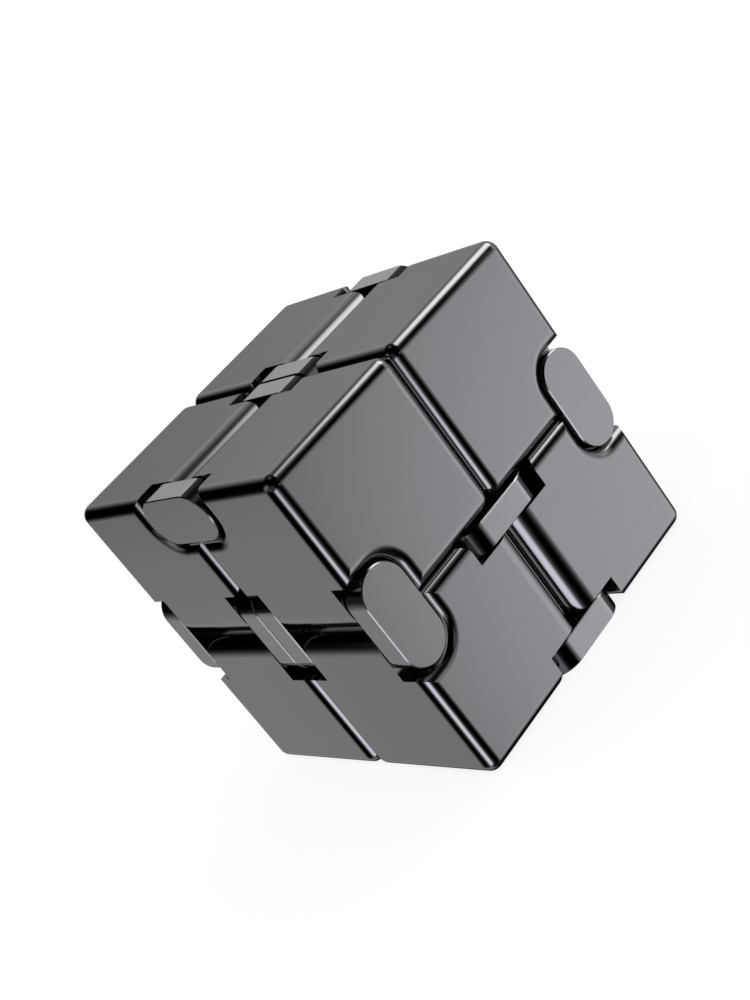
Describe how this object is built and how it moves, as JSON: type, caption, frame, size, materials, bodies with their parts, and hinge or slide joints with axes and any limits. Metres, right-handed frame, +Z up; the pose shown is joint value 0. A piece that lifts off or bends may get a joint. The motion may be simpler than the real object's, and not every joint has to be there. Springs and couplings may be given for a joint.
{
  "type": "folding fidget cube",
  "caption": "Palm-sized metal fidget cube of hinged cubelets in a closed loop, folding endlessly through double-pin links set flush in its faces.",
  "frame": {"origin": "middle of the closed cube's bottom face, on the surface that it stands on", "axes": "+Z up to the face with the top links; +Y to the rear, so the front face is -Y; +X to the right"},
  "size_m": [0.04, 0.04, 0.04],
  "materials": {
    "cubelet_gunmetal": "polished and plated dark gunmetal, mirror-like with a faint haze",
    "link_plate_gunmetal": "polished gunmetal, a shade lighter than the cubelets",
    "pin_steel": "ground bright steel"
  },
  "bodies": {
    "lower_front_left": {"cubelet_lower_front_left": "cubelet_gunmetal"},
    "lower_front_right": {"cubelet_lower_front_right": "cubelet_gunmetal"},
    "lower_rear_left": {"cubelet_lower_rear_left": "cubelet_gunmetal"},
    "lower_rear_right": {"cubelet_lower_rear_right": "cubelet_gunmetal", "rear_lower_pin_right": "pin_steel"},
    "upper_front_left": {"cubelet_upper_front_left": "cubelet_gunmetal"},
    "upper_front_right": {"cubelet_upper_front_right": "cubelet_gunmetal"},
    "upper_rear_left": {"cubelet_upper_rear_left": "cubelet_gunmetal"},
    "upper_rear_right": {"cubelet_upper_rear_right": "cubelet_gunmetal"},
    "link_left_front": {"left_front_plate_outer": "link_plate_gunmetal", "left_front_plate_inner": "link_plate_gunmetal", "left_front_pin_lower": "pin_steel", "left_front_pin_upper": "pin_steel"},
    "link_left_rear": {"left_rear_plate_outer": "link_plate_gunmetal", "left_rear_plate_inner": "link_plate_gunmetal", "left_rear_pin_lower": "pin_steel", "left_rear_pin_upper": "pin_steel"},
    "link_right_front": {"right_front_plate_outer": "link_plate_gunmetal", "right_front_plate_inner": "link_plate_gunmetal", "right_front_pin_lower": "pin_steel", "right_front_pin_upper": "pin_steel"},
    "link_right_rear": {"right_rear_plate_outer": "link_plate_gunmetal", "right_rear_plate_inner": "link_plate_gunmetal", "right_rear_pin_lower": "pin_steel", "right_rear_pin_upper": "pin_steel"},
    "link_top_left": {"top_left_plate_outer": "link_plate_gunmetal", "top_left_plate_inner": "link_plate_gunmetal", "top_left_pin_front": "pin_steel", "top_left_pin_rear": "pin_steel"},
    "link_top_right": {"top_right_plate_outer": "link_plate_gunmetal", "top_right_plate_inner": "link_plate_gunmetal", "top_right_pin_front": "pin_steel", "top_right_pin_rear": "pin_steel"},
    "link_front_lower": {"front_lower_plate_outer": "link_plate_gunmetal", "front_lower_plate_inner": "link_plate_gunmetal", "front_lower_pin_left": "pin_steel", "front_lower_pin_right": "pin_steel"},
    "link_rear_lower": {"rear_lower_plate_outer": "link_plate_gunmetal", "rear_lower_plate_inner": "link_plate_gunmetal", "rear_lower_pin_left": "pin_steel"}
  },
  "joints": [
    {"name": "left_door", "type": "hinge", "parent": "lower_front_left", "child": "link_left_front", "pos_m": [-0.01696, -0.01004, 0.01688], "axis": [0, -1, 0], "range_deg": [0, 90]},
    {"name": "left_front_upper_pin", "type": "hinge", "parent": "link_left_front", "child": "upper_front_left", "pos_m": [-0.01696, -0.01004, 0.02312], "axis": [0, -1, 0], "range_deg": [0, 90]},
    {"name": "book_fold", "type": "hinge", "parent": "upper_front_left", "child": "link_top_left", "pos_m": [-0.01004, -0.00312, 0.03696], "axis": [1, 0, 0], "range_deg": [0, 90]},
    {"name": "top_left_rear_pin", "type": "hinge", "parent": "link_top_left", "child": "upper_rear_left", "pos_m": [-0.01004, 0.00312, 0.03696], "axis": [1, 0, 0], "range_deg": [0, 90]},
    {"name": "left_rear_upper_pin", "type": "hinge", "parent": "upper_rear_left", "child": "link_left_rear", "pos_m": [-0.01696, 0.01004, 0.02312], "axis": [0, 1, 0], "range_deg": [0, 90]},
    {"name": "left_rear_lower_pin", "type": "hinge", "parent": "link_left_rear", "child": "lower_rear_left", "pos_m": [-0.01696, 0.01004, 0.01688], "axis": [0, 1, 0], "range_deg": [0, 90]},
    {"name": "rear_lower_left_pin", "type": "hinge", "parent": "lower_rear_left", "child": "link_rear_lower", "pos_m": [-0.00312, 0.01696, 0.00996], "axis": [0, 0, 1], "range_deg": [0, 90]},
    {"name": "long_fold", "type": "hinge", "parent": "lower_front_left", "child": "link_front_lower", "pos_m": [-0.00312, -0.01696, 0.00996], "axis": [0, 0, -1], "range_deg": [0, 90]},
    {"name": "front_lower_right_pin", "type": "hinge", "parent": "link_front_lower", "child": "lower_front_right", "pos_m": [0.00312, -0.01696, 0.00996], "axis": [0, 0, -1], "range_deg": [0, 90]},
    {"name": "right_door", "type": "hinge", "parent": "lower_front_right", "child": "link_right_front", "pos_m": [0.01696, -0.01004, 0.01688], "axis": [0, 1, 0], "range_deg": [0, 90]},
    {"name": "right_front_upper_pin", "type": "hinge", "parent": "link_right_front", "child": "upper_front_right", "pos_m": [0.01696, -0.01004, 0.02312], "axis": [0, 1, 0], "range_deg": [0, 90]},
    {"name": "top_right_front_pin", "type": "hinge", "parent": "upper_front_right", "child": "link_top_right", "pos_m": [0.01004, -0.00312, 0.03696], "axis": [1, 0, 0], "range_deg": [0, 90]},
    {"name": "top_right_rear_pin", "type": "hinge", "parent": "link_top_right", "child": "upper_rear_right", "pos_m": [0.01004, 0.00312, 0.03696], "axis": [1, 0, 0], "range_deg": [0, 90]},
    {"name": "right_rear_upper_pin", "type": "hinge", "parent": "upper_rear_right", "child": "link_right_rear", "pos_m": [0.01696, 0.01004, 0.02312], "axis": [0, -1, 0], "range_deg": [0, 90]},
    {"name": "right_rear_lower_pin", "type": "hinge", "parent": "link_right_rear", "child": "lower_rear_right", "pos_m": [0.01696, 0.01004, 0.01688], "axis": [0, -1, 0], "range_deg": [0, 90]}
  ],
  "couplings": [
    {"joint": "left_front_upper_pin", "follows": "left_door", "ratio": 1},
    {"joint": "left_rear_upper_pin", "follows": "left_door", "ratio": 1},
    {"joint": "left_rear_lower_pin", "follows": "left_door", "ratio": 1},
    {"joint": "right_front_upper_pin", "follows": "right_door", "ratio": 1},
    {"joint": "right_rear_upper_pin", "follows": "right_door", "ratio": 1},
    {"joint": "right_rear_lower_pin", "follows": "right_door", "ratio": 1},
    {"joint": "top_left_rear_pin", "follows": "book_fold", "ratio": 1},
    {"joint": "top_right_front_pin", "follows": "book_fold", "ratio": 1},
    {"joint": "top_right_rear_pin", "follows": "book_fold", "ratio": 1},
    {"joint": "front_lower_right_pin", "follows": "long_fold", "ratio": 1},
    {"joint": "rear_lower_left_pin", "follows": "long_fold", "ratio": 1}
  ]
}
